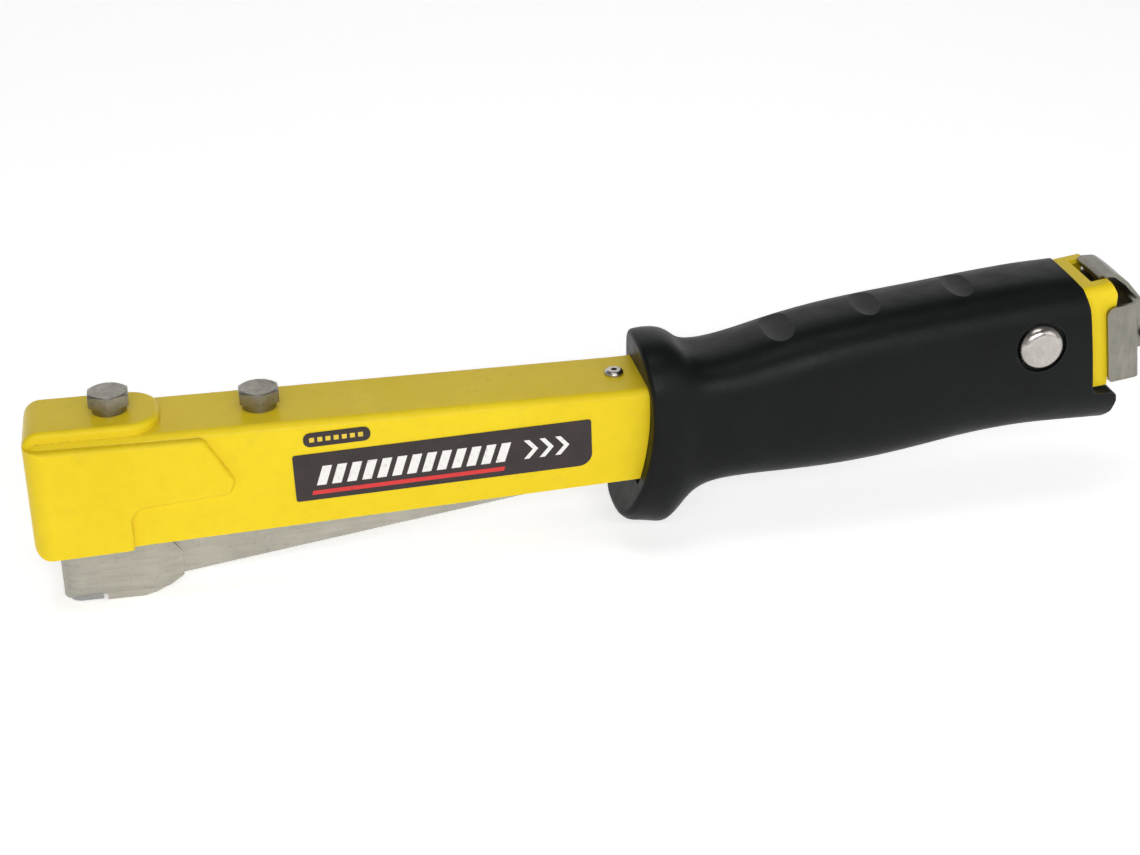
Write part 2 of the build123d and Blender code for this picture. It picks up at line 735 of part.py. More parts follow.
def make_pivot_bushes():
    """Spacer bushes that keep the magazine centred between the housing walls."""
    with BuildPart() as pivot_bushes:
        for side in (-1, 1):
            with BuildSketch(MAG.offset(-side * (CHANNEL_HALF + SEAM))):
                Circle(BUSH_R)
                Circle(PIN_R + BOLT_FIT, mode=Mode.SUBTRACT)
            extrude(amount=-side * (HOUSING_HALF - SHEET - CHANNEL_HALF - SEAM))
    return pivot_bushes


def make_labels(outline, rounds):
    """Thin stickers of one outline on both sides of the head."""
    with BuildPart() as labels:
        for side in (-1, 1):
            with BuildSketch(Plane.XZ.offset(-side * HOUSING_HALF)) as face:
                side_face(face, outline, rounds)
            extrude(amount=-side * LABEL_T)
    return labels


def make_side_labels():
    """Long rectangular stickers."""
    start, end = LABEL_X
    low, high = LABEL_Z
    rise = (end - start) * LABEL_SLOPE
    outline = [
        (start + LABEL_SKEW, low),
        (start, high),
        (end, high + rise),
        (end + LABEL_SKEW, low + rise),
    ]
    rounds = [(corner, LABEL_CORNER_R) for corner in outline[:3]]
    return make_labels(outline, rounds + [(outline[3], LABEL_LARGE_CORNER_R)])


def make_badge_labels():
    """Small pill-shaped stickers above the long ones."""
    start, end = BADGE_X
    low, high = BADGE_Z
    rise = (end - start) * LABEL_SLOPE
    outline = [(start, low), (start, high), (end, high + rise), (end, low + rise)]
    return make_labels(outline, [(corner, BADGE_CORNER_R) for corner in outline])


def make_magazine_channel():
    """Staple channel with raised ears at the hinge."""
    inner = CHANNEL_HALF - CHANNEL_SHEET
    with BuildPart() as magazine_channel:
        with BuildSketch(MAG) as side:
            side_face(
                side,
                [
                    (CHANNEL_START, CHANNEL_FLOOR),
                    (CHANNEL_START, CHANNEL_TOP),
                    (CHANNEL_END, CHANNEL_TOP),
                    (CHANNEL_END, CHANNEL_FLOOR),
                ],
            )
            Circle(EAR_R)
        extrude(amount=CHANNEL_HALF, both=True)
        low = magazine_channel.edges().filter_by(
            lambda e: e.center().Z < magazine_line_z(e.center().X, CHANNEL_FLOOR) + NEAR
            and abs(e.center().Y) > CHANNEL_HALF - NEAR
            and e.length > CHANNEL_LONG_EDGE
        )
        fillet(low, CHANNEL_EDGE_R)
        with BuildSketch(MAG):
            with Locations((0, THROUGH / 2 + CHANNEL_FLOOR + CHANNEL_SHEET)):
                Rectangle(MAG_LENGTH, THROUGH)
        extrude(amount=inner, both=True, mode=Mode.SUBTRACT)
        with BuildSketch(MAG):
            Circle(PIN_R + PIN_RUNNING_FIT)
        extrude(amount=CHANNEL_HALF + 1, both=True, mode=Mode.SUBTRACT)
    return magazine_channel


def make_core_rail():
    """Square tube along the channel's floor that the staples straddle."""
    floor = CHANNEL_FLOOR + CHANNEL_SHEET
    middle = (floor + RAIL_TOP) / 2
    height = RAIL_TOP - floor
    length = RAIL_END - CHANNEL_START
    with BuildPart() as core_rail:
        with BuildSketch(MAG):
            with Locations((CHANNEL_START + length / 2, middle)):
                Rectangle(length, height)
        extrude(amount=RAIL_HALF, both=True)
        with BuildSketch(MAG):
            with Locations((CHANNEL_START + length / 2, middle)):
                Rectangle(length + 2, height - 2 * RAIL_WALL)
        extrude(amount=RAIL_HALF - RAIL_WALL, both=True, mode=Mode.SUBTRACT)
    return core_rail


def make_rail_rivets():
    """Rivets that hold the rail to the channel's floor."""
    with BuildPart() as rail_rivets:
        for along in RAIL_RIVET_PLACES:
            x, z = on_magazine(along, CHANNEL_FLOOR)
            under = Plane(origin=(x, 0, z), z_dir=(-MAG_SIN, 0, MAG_COS))
            with BuildSketch(under):
                Circle(RAIL_RIVET_R)
            extrude(amount=-RAIL_RIVET_H)
    return rail_rivets


def make_nose_shoe():
    """Sheet shoe wrapped round the magazine's front, with a solid heel under the channel."""
    side_outline = [
        (NOSE_FRONT_X, 0),
        (NOSE_FRONT_X, NOSE_TOP_Z),
        (SHOE_SHOULDER_X, NOSE_TOP_Z),
        (SHOE_END_X, SHOE_END_Z + SHOE_SHOULDER_H),
        (SHOE_END_X, SHOE_END_Z),
        *HEEL_CURVE,
        (HEEL_FLAT_END_X, 0),
    ]
    inner_front = NOSE_FRONT_X + NOSE_SHEET
    with BuildPart() as nose_shoe:
        with BuildSketch(Plane.XZ) as side:
            side_face(side, side_outline, [(side_outline[0], SHOE_EDGE_R)])
        extrude(amount=NOSE_HALF, both=True)
        front = nose_shoe.edges().filter_by(Axis.Z).group_by(Axis.X)[0]
        fillet(front, NOSE_CORNER_R)
        with BuildSketch(Plane.XY.offset(-SHOE_LOW_CUT)):
            with Locations((inner_front + THROUGH / 2, 0)):
                RectangleRounded(THROUGH, 2 * CHANNEL_HALF, NOSE_CORNER_R - NOSE_SHEET)
        extrude(amount=THROUGH, mode=Mode.SUBTRACT)
        with BuildSketch(Plane.XZ) as heel:
            side_face(
                heel,
                [
                    (HEEL_START_X, 0),
                    (HEEL_START_X, magazine_line_z(HEEL_START_X, CHANNEL_FLOOR)),
                    (SHOE_END_X, magazine_line_z(SHOE_END_X, CHANNEL_FLOOR)),
                    *HEEL_CURVE,
                    (HEEL_FLAT_END_X, 0),
                ],
            )
        extrude(amount=CHANNEL_HALF + SINK, both=True)
        for side_sign in (-1, 1):
            with BuildSketch(Plane.XY) as joggle:
                side_face(
                    joggle,
                    [
                        (SHOE_END_X - JOGGLE_LENGTH, side_sign * NOSE_HALF),
                        (SHOE_END_X, side_sign * (CHANNEL_HALF + JOGGLE_PROUD)),
                        (SHOE_END_X + 1, side_sign * NOSE_HALF),
                    ],
                )
            extrude(amount=NOSE_TOP_Z, mode=Mode.SUBTRACT)
            with BuildSketch(Plane.XZ.offset(-side_sign * (NOSE_HALF - SINK))):
                with Locations(((STOP_LIP_START_X + STOP_LIP_END_X) / 2, EAR_Z + EAR_SHEET / 2)):
                    Rectangle(STOP_LIP_END_X - STOP_LIP_START_X, EAR_SHEET)
            extrude(amount=-side_sign * (EAR_HALF - NOSE_HALF + SINK))
    return nose_shoe


def make_nose_plate():
    """Hardened guide block whose groove leads the blade and the staple out of the nose."""
    bottom = NOSE_PLATE_LOW_Z
    groove_end = CHANNEL_START - NOSE_PLATE_END_GAP
    top_x, top_z = on_magazine(groove_end, CHANNEL_TOP + NOSE_PLATE_RISE)
    low_x = on_magazine(groove_end, CHANNEL_FLOOR)[0]
    inner_front = NOSE_FRONT_X + NOSE_SHEET
    with BuildPart() as nose_plate:
        with BuildSketch(Plane.XZ) as side:
            side_face(
                side,
                [
                    (inner_front, bottom),
                    (inner_front, top_z),
                    (top_x, top_z),
                    (low_x + (magazine_line_z(low_x, CHANNEL_FLOOR) - bottom) * MAG_SIN, bottom),
                ],
            )
        extrude(amount=CHANNEL_HALF - NOSE_PLATE_SIDE_GAP, both=True)
        fillet(nose_plate.edges().filter_by(Axis.Z).group_by(Axis.X)[0], NOSE_CORNER_R - NOSE_SHEET)
        with BuildSketch(MAG):
            with Locations((GROOVE_FRONT + THROUGH / 2, 0)):
                Rectangle(THROUGH, THROUGH)
        extrude(amount=GROOVE_HALF, both=True, mode=Mode.SUBTRACT)
    return nose_plate


def make_spring_seat():
    """Saddle across the channel's top that takes the return spring's lower end."""
    top = SEAT_Y + SEAT_SHEET
    x, z = on_magazine(SEAT_ALONG, top)
    over = Plane(origin=(x, 0, z), z_dir=(-MAG_SIN, 0, MAG_COS))
    with BuildPart() as spring_seat:
        with BuildSketch(MAG):
            with Locations((SEAT_ALONG, (top + SEAT_LOW) / 2)):
                Rectangle(SEAT_LENGTH, top - SEAT_LOW)
        extrude(amount=CHANNEL_HALF + SEAT_SHEET, both=True)
        with BuildSketch(MAG):
            with Locations((SEAT_ALONG, SEAT_Y - THROUGH / 2)):
                Rectangle(2 * SEAT_LENGTH, THROUGH)
        extrude(amount=CHANNEL_HALF, both=True, mode=Mode.SUBTRACT)
        with BuildSketch(over):
            Circle(SPRING_R - SPRING_WIRE - GAP)
            Circle(SPRING_R - SPRING_WIRE - GAP - SEAT_RING_WALL, mode=Mode.SUBTRACT)
        extrude(amount=SEAT_RING_H)
        with BuildSketch(MAG):
            with Locations(*[(SEAT_ALONG + step, SEAT_RIVET_Y) for step in SEAT_RIVET_STEPS]):
                Circle(SEAT_RIVET_R + BOLT_FIT)
        extrude(amount=THROUGH, both=True, mode=Mode.SUBTRACT)
    return spring_seat


def make_seat_rivets():
    """Low rivet heads on the saddle's sides."""
    with BuildPart() as seat_rivets:
        for side in (-1, 1):
            for step in SEAT_RIVET_STEPS:
                with BuildSketch(MAG.offset(-side * CHANNEL_HALF)):
                    with Locations((SEAT_ALONG + step, SEAT_RIVET_Y)):
                        Circle(SEAT_RIVET_R)
                extrude(amount=-side * (SEAT_SHEET + SEAT_RIVET_H))
    return seat_rivets


def make_end_cap():
    """Sheet cap round the handle's end, with the plug that enters the channel and the latch's ears."""
    inner = CAP_HALF - CAP_SHEET
    height = CAP_TOP - CAP_BOTTOM
    x, z = on_magazine(0, CAP_BOTTOM)
    plan = Plane(origin=(x, 0, z), x_dir=(MAG_COS, 0, MAG_SIN), z_dir=(-MAG_SIN, 0, MAG_COS))
    with BuildPart() as end_cap:
        with BuildSketch(MAG) as side:
            side_face(
                side,
                [
                    (CAP_START, CAP_BOTTOM),
                    (CAP_START, CAP_TOP),
                    (CAP_END, CAP_TOP),
                    (CAP_END, CAP_BOTTOM),
                ],
                [((CAP_START, CAP_TOP), CAP_CORNER_R), ((CAP_START, CAP_BOTTOM), CAP_POCKET_R)],
            )
        extrude(amount=CAP_HALF, both=True)
        rear = end_cap.edges().filter_by(
            lambda e: abs(e.length - height) < NEAR and e.center().X > PIVOT_X + (CAP_START + CAP_END) / 2
        )
        fillet(rear, CAP_EDGE_R)
        with BuildSketch(plan):
            with Locations((CAP_END - CAP_SHEET - CAP_POCKET / 2, 0)):
                RectangleRounded(CAP_POCKET, 2 * inner, CAP_POCKET_R)
        extrude(amount=THROUGH, both=True, mode=Mode.SUBTRACT)
        for sign in (-1, 1):
            with BuildSketch(MAG.offset(-sign * LATCH_EAR_Y)) as ear:
                ear_rounds = [(corner, EAR_CORNER_R) for corner in LATCH_EAR_OUTLINE[1:3]]
                side_face(ear, LATCH_EAR_OUTLINE, ear_rounds)
            extrude(amount=-sign * CAP_SHEET)
        with BuildSketch(MAG):
            with Locations(((PLUG_START + CAP_END - GAP) / 2, (PLUG_LOW + PLUG_TOP) / 2)):
                Rectangle(CAP_END - GAP - PLUG_START, PLUG_TOP - PLUG_LOW)
        extrude(amount=PLUG_HALF, both=True)
        with BuildSketch(MAG):
            with Locations(LATCH_PIN):
                Circle(LATCH_PIN_R + BOLT_FIT)
        extrude(amount=THROUGH, both=True, mode=Mode.SUBTRACT)
        with BuildSketch(along_rod(0)):
            Circle(ROD_R + BOLT_FIT)
        extrude(amount=THROUGH, mode=Mode.SUBTRACT)
    return end_cap


def along_rod(along):
    """Plane square to the guide rod, facing rearwards."""
    x, z = on_magazine(along, ROD_Y)
    return Plane(origin=(x, 0, z), z_dir=(MAG_COS, 0, MAG_SIN))


def make_guide_rod():
    """Long rod that carries the pusher and its spring."""
    with BuildPart() as guide_rod:
        with BuildSketch(along_rod(ROD_FRONT)):
            Circle(ROD_R)
        extrude(amount=CAP_END + 2.0 - ROD_FRONT)
    return guide_rod


def make_rod_collars():
    """Collars pressed on the rod's front end and against the cap's rear wall."""
    with BuildPart() as rod_collars:
        for along, length in ((ROD_FRONT, COLLAR_FRONT_LENGTH), (CAP_END, COLLAR_REAR_LENGTH)):
            with BuildSketch(along_rod(along)):
                Circle(COLLAR_R)
                Circle(ROD_R, mode=Mode.SUBTRACT)
            extrude(amount=length)
    return rod_collars


def make_pusher():
    """Saddle that rides on the rail and pushes the staples forwards."""
    floor = CHANNEL_FLOOR + CHANNEL_SHEET
    end = PUSHER_START + PUSHER_LENGTH
    with BuildPart() as pusher:
        with BuildSketch(MAG):
            with Locations(((PUSHER_START + end) / 2, (RAIL_TOP + PUSHER_ROOF + floor + PUSHER_LIFT) / 2)):
                Rectangle(PUSHER_LENGTH, RAIL_TOP + PUSHER_ROOF - floor - PUSHER_LIFT)
        extrude(amount=PUSHER_HALF, both=True)
        with BuildSketch(MAG):
            with Locations(((PUSHER_START + end) / 2, RAIL_TOP + PUSHER_RUNNING_GAP - THROUGH / 2)):
                Rectangle(PUSHER_LENGTH + 2, THROUGH)
        extrude(amount=RAIL_HALF + SEAM, both=True, mode=Mode.SUBTRACT)
        with BuildSketch(MAG):
            with Locations((end - PUSHER_LUG_BACK, (RAIL_TOP + PUSHER_ROOF + PUSHER_LUG_TOP) / 2)):
                Rectangle(PUSHER_LUG_LENGTH, PUSHER_LUG_TOP - RAIL_TOP - PUSHER_ROOF)
        extrude(amount=PUSHER_LUG_HALF, both=True)
        with BuildSketch(along_rod(end - PUSHER_BORE_DEPTH)):
            Circle(ROD_R + PIN_RUNNING_FIT)
        extrude(amount=PUSHER_BORE_CUT, mode=Mode.SUBTRACT)
    return pusher


def make_pusher_spring():
    """Outer form of the long coil between the pusher and the end cap."""
    start = PUSHER_START + PUSHER_LENGTH - GAP
    with BuildPart() as pusher_spring:
        with BuildSketch(along_rod(start)):
            Circle(PUSHER_SPRING_R)
            Circle(PUSHER_SPRING_R - PUSHER_SPRING_WIRE, mode=Mode.SUBTRACT)
        extrude(amount=PLUG_START - NEAR - start)
    return pusher_spring


def make_latch_pin():
    """Hinge pin of the latch, held in the cap's ears."""
    reach = LATCH_EAR_Y + CAP_SHEET + GAP
    with BuildPart() as latch_pin:
        with BuildSketch(MAG.offset(-reach)):
            with Locations(LATCH_PIN):
                Circle(LATCH_PIN_R)
        extrude(amount=2 * reach)
        with BuildSketch(MAG.offset(reach)):
            with Locations(LATCH_PIN):
                Circle(LATCH_PIN_HEAD_R)
        extrude(amount=LATCH_PIN_HEAD_H)
    return latch_pin


def make_latch_lever():
    """Bent strap that hooks over the housing's top edge, with its hinge barrel and thumb tail."""
    with BuildPart() as latch_lever:
        with BuildSketch(MAG):
            with BuildLine() as path:
                FilletPolyline(*LATCH_PATH, radius=LATCH_RADII)
            trace(path.edges(), LATCH_SHEET)
        extrude(amount=LATCH_HALF, both=True)
        with BuildSketch(MAG):
            with Locations(LATCH_PIN):
                Circle(BARREL_R)
        extrude(amount=LATCH_HALF, both=True)
        with BuildSketch(MAG):
            with Locations(LATCH_PIN):
                Circle(LATCH_PIN_R + PIN_RUNNING_FIT)
        extrude(amount=THROUGH, both=True, mode=Mode.SUBTRACT)
    return latch_lever


def make_latch_springs():
    """Outer forms of the two small coils beside the latch's barrel."""
    with BuildPart() as latch_springs:
        for sign in (-1, 1):
            with BuildSketch(MAG.offset(-sign * (LATCH_HALF + LATCH_COIL_GAP))):
                with Locations(LATCH_PIN):
                    Circle(LATCH_COIL_R)
                    Circle(LATCH_PIN_R + LATCH_COIL_FIT, mode=Mode.SUBTRACT)
            extrude(amount=-sign * (LATCH_EAR_Y - LATCH_HALF - SEAM))
    return latch_springs


def section_points(top, bottom, half, power):
    """Points round one rounded section of the grip, counted from its right-hand side."""
    middle = (top + bottom) / 2
    rise = (top - bottom) / 2
    points = []
    for step in range(SECTION_POINTS):
        turn = math.pi * (2 * step + 1) / SECTION_POINTS
        across = math.copysign(abs(math.cos(turn)) ** (2 / power), math.cos(turn))
        up = math.copysign(abs(math.sin(turn)) ** (2 / power), math.sin(turn))
        points.append((half * across, middle + rise * up))
    return points


def make_grip_room():
    """The space the housing and the magazine take up inside the grip."""
    start = -THROUGH
    end = HOUSING_END_X + THROUGH
    with BuildPart() as room:
        with BuildSketch(Plane.XZ) as side:
            side_face(
                side,
                [
                    (start, HEAD_TOP_Z),
                    (BEND_X, HEAD_TOP_Z),
                    (end, handle_top_z(end)),
                    (end, TONGUE_TOP_Z),
                    (TONGUE_START_X, TONGUE_TOP_Z),
                    GRIP_FLOOR_BACK,
                    GRIP_FLOOR_FRONT,
                    (start, GRIP_FLOOR_FRONT[1]),
                ],
                [((BEND_X, HEAD_TOP_Z), BEND_R)],
            )
        extrude(amount=HOUSING_HALF, both=True)
        top = room.edges().filter_by(
            lambda e: abs(abs(e.center().Y) - HOUSING_HALF) < SAME
            and e.center().Z > HEAD_TOP_Z - NEAR
            and e.center().X < end - 1
        )
        fillet(top, FOLD_R)
    return room.part


def make_grip_sleeve():
    """Moulded rubber grip with its finger guard, hollowed for the housing and the magazine."""
    room = make_grip_room()
    with BuildPart() as grip_sleeve:
        for x, *section in GRIP_STATIONS:
            with BuildSketch(Plane.YZ.offset(x)):
                with BuildLine() as line:
                    Spline(*section_points(*section), periodic=True)
                make_face(line.edges())
        loft()
        with BuildSketch(Plane.XZ) as side:
            side_face(
                side,
                [(GRIP_FRONT_X, 0), (GRIP_FRONT_X, GRIP_REAR[0][1])] + GRIP_REAR + [(GRIP_REAR[-1][0], 0)],
                [(GRIP_REAR[6], GRIP_REAR_R), (GRIP_REAR[7], GRIP_REAR_R), (GRIP_REAR[9], GRIP_REAR_R)],
            )
        extrude(amount=THROUGH, both=True, mode=Mode.INTERSECT)
        with BuildSketch(Plane.XZ):
            with Locations((GUARD_FACE_X - GUARD_FACE_R, GUARD_FACE_Z)):
                Circle(GUARD_FACE_R)
        extrude(amount=THROUGH, both=True, mode=Mode.SUBTRACT)
        front = grip_sleeve.faces().filter_by(GeomType.CYLINDER).sort_by(SortBy.AREA)[-1]
        fillet(front.edges(), GUARD_RIM_R)
        for groove_x, crown_z in FINGER_GROOVES:
            with BuildSketch(Plane.XZ):
                with Locations((groove_x, crown_z - GROOVE_DEPTH + GROOVE_R)):
                    Circle(GROOVE_R)
            extrude(amount=THROUGH, both=True, mode=Mode.SUBTRACT)
        add(room, mode=Mode.SUBTRACT)
        with BuildSketch(MAG):
            Circle(RIVET_SHOULDER_R + BOLT_FIT)
        extrude(amount=THROUGH, both=True, mode=Mode.SUBTRACT)
        for side in (-1, 1):
            with BuildSketch(MAG.offset(side * (RIVET_HEAD_BASE_Y - COUNTERBORE_SINK))):
                Circle(COUNTERBORE_R)
            extrude(amount=side * THROUGH, mode=Mode.SUBTRACT)
    return grip_sleeve


def save(sub_part, name):
    """Label one sub-part and write its STEP file."""
    sub_part.part.label = name
    export_step(sub_part.part, f"parts/{name}.step")


SUB_PARTS = {
    "housing_shell": make_housing_shell,
    "grip_sleeve": make_grip_sleeve,
    "striker_bolt": make_striker_bolt,
    "spring_bolt": make_spring_bolt,
    "bolt_washers": make_bolt_washers,
    "spring_cup": make_spring_cup,
    "spring_nut": make_spring_nut,
    "return_spring": make_return_spring,
    "striker_block": make_striker_block,
    "driver_blade": make_driver_blade,
    "driver_rivets": make_driver_rivets,
    "bumper": make_bumper,
    "grip_rivet": make_grip_rivet,
    "grip_rivet_washer": make_rivet_washer,
    "pivot_rivets": make_pivot_rivets,
    "pivot_bushes": make_pivot_bushes,
    "side_labels": make_side_labels,
    "badge_labels": make_badge_labels,
    "magazine_channel": make_magazine_channel,
    "core_rail": make_core_rail,
    "rail_rivets": make_rail_rivets,
    "nose_shoe": make_nose_shoe,
    "nose_plate": make_nose_plate,
    "spring_seat": make_spring_seat,
    "seat_rivets": make_seat_rivets,
    "end_cap": make_end_cap,
    "guide_rod": make_guide_rod,
    "rod_collars": make_rod_collars,
    "pusher": make_pusher,
    "pusher_spring": make_pusher_spring,
    "latch_pin": make_latch_pin,
    "latch_lever": make_latch_lever,
    "latch_springs": make_latch_springs,
}

os.makedirs("parts", exist_ok=True)
for part_name, make in SUB_PARTS.items():
    save(make(), part_name)
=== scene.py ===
"""Looks of the hammer tacker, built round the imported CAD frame. Metres, +Z up, nose on Z = 0."""

import bpy
import json
import math
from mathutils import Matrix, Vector


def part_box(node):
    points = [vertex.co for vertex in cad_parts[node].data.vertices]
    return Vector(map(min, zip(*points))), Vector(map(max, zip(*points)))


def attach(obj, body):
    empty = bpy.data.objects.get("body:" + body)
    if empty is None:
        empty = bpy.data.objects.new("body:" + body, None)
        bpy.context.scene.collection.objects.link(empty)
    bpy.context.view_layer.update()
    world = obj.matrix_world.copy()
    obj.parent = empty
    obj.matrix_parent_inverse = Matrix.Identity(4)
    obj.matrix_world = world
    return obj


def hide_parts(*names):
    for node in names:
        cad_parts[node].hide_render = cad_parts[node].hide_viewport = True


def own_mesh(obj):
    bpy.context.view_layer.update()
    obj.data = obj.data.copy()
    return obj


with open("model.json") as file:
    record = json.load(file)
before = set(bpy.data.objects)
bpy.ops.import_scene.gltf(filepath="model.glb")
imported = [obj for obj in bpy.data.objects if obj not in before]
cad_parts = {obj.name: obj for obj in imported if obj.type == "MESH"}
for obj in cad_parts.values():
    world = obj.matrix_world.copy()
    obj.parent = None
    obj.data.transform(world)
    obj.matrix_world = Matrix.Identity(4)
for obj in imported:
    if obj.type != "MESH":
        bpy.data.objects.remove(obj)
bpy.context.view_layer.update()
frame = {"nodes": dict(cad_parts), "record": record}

MM = 0.001
SIDES = ((-1, "near"), (1, "far"))


# ---------------------------------------------------------------- shader helpers
class Shader:
    """A short way to write one procedural material."""

    def __init__(self, name):
        self.mat = bpy.data.materials.new(name)
        self.mat.use_nodes = True
        self.tree = self.mat.node_tree
        self.bsdf = self.tree.nodes["Principled BSDF"]
        self.place = self.node("ShaderNodeTexCoord").outputs["Object"]

    def node(self, kind, **values):
        """A new node with its own settings."""
        made = self.tree.nodes.new(kind)
        for key, value in values.items():
            setattr(made, key, value)
        return made

    def link(self, source, target):
        """A constant set on the socket, or a socket linked to it."""
        if isinstance(source, (int, float)):
            target.default_value = source
        else:
            self.tree.links.new(source, target)

    def math(self, operation, a, b, clamp=False):
        """One sum or product."""
        made = self.node("ShaderNodeMath", operation=operation, use_clamp=clamp)
        self.link(a, made.inputs[0])
        self.link(b, made.inputs[1])
        return made.outputs[0]

    def noise(self, size, detail=3.0, stretch=(1, 1, 1), rough=0.5):
        """Noise whose features are about size metres across."""
        place = self.node("ShaderNodeMapping")
        place.inputs["Scale"].default_value = stretch
        self.link(self.place, place.inputs["Vector"])
        made = self.node("ShaderNodeTexNoise")
        made.inputs["Scale"].default_value = 1.0 / size
        made.inputs["Detail"].default_value = detail
        made.inputs["Roughness"].default_value = rough
        self.link(place.outputs["Vector"], made.inputs["Vector"])
        return made.outputs["Fac"]

    def ramp(self, value, low, high, to_low=0.0, to_high=1.0):
        """Values from low to high brought to the range to_low to to_high."""
        made = self.node("ShaderNodeMapRange", clamp=True)
        self.link(value, made.inputs["Value"])
        made.inputs["From Min"].default_value = low
        made.inputs["From Max"].default_value = high
        made.inputs["To Min"].default_value = to_low
        made.inputs["To Max"].default_value = to_high
        return made.outputs["Result"]

    def patches(self, size, low, high, strength=1.0, **noise):
        """Blotches about size metres across, from 0 outside to strength inside."""
        return self.ramp(self.noise(size, **noise), low, high, 0.0, strength)

    def mix(self, share, a, b):
        """Colour a to colour b by share."""
        made = self.node("ShaderNodeMix", data_type="RGBA")
        self.link(share, made.inputs["Factor"])
        for value, socket in ((a, made.inputs[6]), (b, made.inputs[7])):
            if isinstance(value, tuple):
                socket.default_value = (*value, 1.0)
            else:
                self.link(value, socket)
        return made.outputs[2]

    def edges(self, radius):
        """1 on sharp edges, 0 on flats: how far a rounded normal leaves the true one."""
        bevel = self.node("ShaderNodeBevel", samples=BEVEL_SAMPLES)
        bevel.inputs["Radius"].default_value = radius
        true = self.node("ShaderNodeNewGeometry").outputs["Normal"]
        dot = self.node("ShaderNodeVectorMath", operation="DOT_PRODUCT")
        self.link(bevel.outputs["Normal"], dot.inputs[0])
        self.link(true, dot.inputs[1])
        return self.ramp(dot.outputs["Value"], EDGE_DOT_FLAT, EDGE_DOT_SHARP)

    def bump(self, height, distance, under=None, strength=1.0):
        """Relief of distance metres, on top of another relief."""
        made = self.node("ShaderNodeBump")
        made.inputs["Strength"].default_value = strength
        made.inputs["Distance"].default_value = distance
        self.link(height, made.inputs["Height"])
        if under is not None:
            self.link(under, made.inputs["Normal"])
        return made.outputs["Normal"]

    def finish(self, colour, roughness, normal, **fixed):
        """Everything put on the surface shader."""
        self.link(colour, self.bsdf.inputs["Base Color"])
        self.link(roughness, self.bsdf.inputs["Roughness"])
        self.link(normal, self.bsdf.inputs["Normal"])
        for key, value in fixed.items():
            self.bsdf.inputs[key.replace("_", " ")].default_value = value
        return self.mat


BEVEL_SAMPLES = 4
EDGE_DOT_FLAT = 0.995
EDGE_DOT_SHARP = 0.80

# ---------------------------------------------------------------- materials
PAINT = (0.80, 0.60, 0.018)
PAINT_DEEP = (0.74, 0.545, 0.013)
PAINT_MOTTLE = (0.56, 0.38, 0.010)
PAINT_GRIME = (0.42, 0.31, 0.05)
# Painted highlight: a lighter yellow laid evenly on every edge of the paint.
PAINT_EDGE_HIGHLIGHT = (0.90, 0.74, 0.10)
PAINT_CHIPPED = (0.24, 0.19, 0.09)
PAINT_SHEEN = 0.12


def yellow_paint():
    """Baked enamel: faint orange peel, slight tone drift, dulled and chipped folds, and a painted
    highlight on every edge.
    """
    s = Shader("yellow_paint")
    tone = s.mix(s.patches(45 * MM, 0.3, 0.7, detail=2.0), PAINT_DEEP, PAINT)
    tone = s.mix(s.patches(4 * MM, 0.45, 0.75, strength=0.14, detail=4.0), tone, PAINT_MOTTLE)
    tone = s.mix(s.patches(11 * MM, 0.58, 0.76, strength=0.22, detail=6.0, rough=0.7), tone, PAINT_GRIME)
    edge = s.edges(0.6 * MM)
    chips = s.math("MULTIPLY", edge, s.patches(1.6 * MM, 0.53, 0.63, detail=5.0, rough=0.7))
    # Painted highlight: all edges lightened evenly by 30 % towards a brighter yellow; the chips below are
    # wear.
    tone = s.mix(s.math("MULTIPLY", edge, 0.30), tone, PAINT_EDGE_HIGHLIGHT)
    tone = s.mix(s.math("MULTIPLY", chips, 0.75), tone, PAINT_CHIPPED)
    smudge = s.ramp(s.noise(18 * MM, detail=5.0, rough=0.65), 0.35, 0.75, to_low=0.26, to_high=0.42)
    rough = s.math("ADD", smudge, s.math("MULTIPLY", chips, 0.25), clamp=True)
    peel = s.bump(s.noise(1.6 * MM, detail=1.5), 0.016 * MM)
    grit = s.bump(s.noise(0.4 * MM, detail=2.0), 0.004 * MM, under=peel)
    return s.finish(tone, rough, grit, Specular_IOR_Level=PAINT_SHEEN)


RUBBER = (0.0048, 0.0066, 0.0062)
RUBBER_DEEP = (0.0026, 0.0034, 0.0031)
RUBBER_SPECK = (0.010, 0.012, 0.011)
RUBBER_SCUFF = (0.013, 0.0145, 0.014)
RUBBER_RUBBED = (0.030, 0.032, 0.031)
RUBBER_SHEEN = 0.15
RUBBER_CELL = 0.85 * MM


def grip_rubber():
    """Moulded black rubber: soft sheen, fine pebbled skin, dusty worn ridges."""
    s = Shader("grip_rubber")
    tone = s.mix(s.patches(22 * MM, 0.3, 0.72, detail=4.0, rough=0.6), RUBBER_DEEP, RUBBER)
    tone = s.mix(s.patches(0.9 * MM, 0.58, 0.78, strength=0.4, detail=2.0), tone, RUBBER_SPECK)
    scuff = s.patches(6 * MM, 0.62, 0.76, strength=0.4, detail=6.0, stretch=(0.35, 1, 1), rough=0.7)
    tone = s.mix(scuff, tone, RUBBER_SCUFF)
    dust = s.ramp(s.noise(3 * MM, detail=4.0), 0.4, 0.65, to_low=0.15, to_high=0.8)
    tone = s.mix(s.math("MULTIPLY", s.edges(0.9 * MM), dust), tone, RUBBER_RUBBED)
    rough = s.ramp(s.noise(7 * MM, detail=4.0), 0.3, 0.7, to_low=0.36, to_high=0.48)
    cells = s.node("ShaderNodeTexVoronoi", feature="SMOOTH_F1")
    cells.inputs["Scale"].default_value = 1.0 / RUBBER_CELL
    s.link(s.place, cells.inputs["Vector"])
    skin = s.bump(cells.outputs["Distance"], 0.04 * MM, strength=0.6)
    skin = s.bump(s.noise(5 * MM), 0.06 * MM, under=skin)
    return s.finish(tone, rough, skin, Specular_IOR_Level=RUBBER_SHEEN)


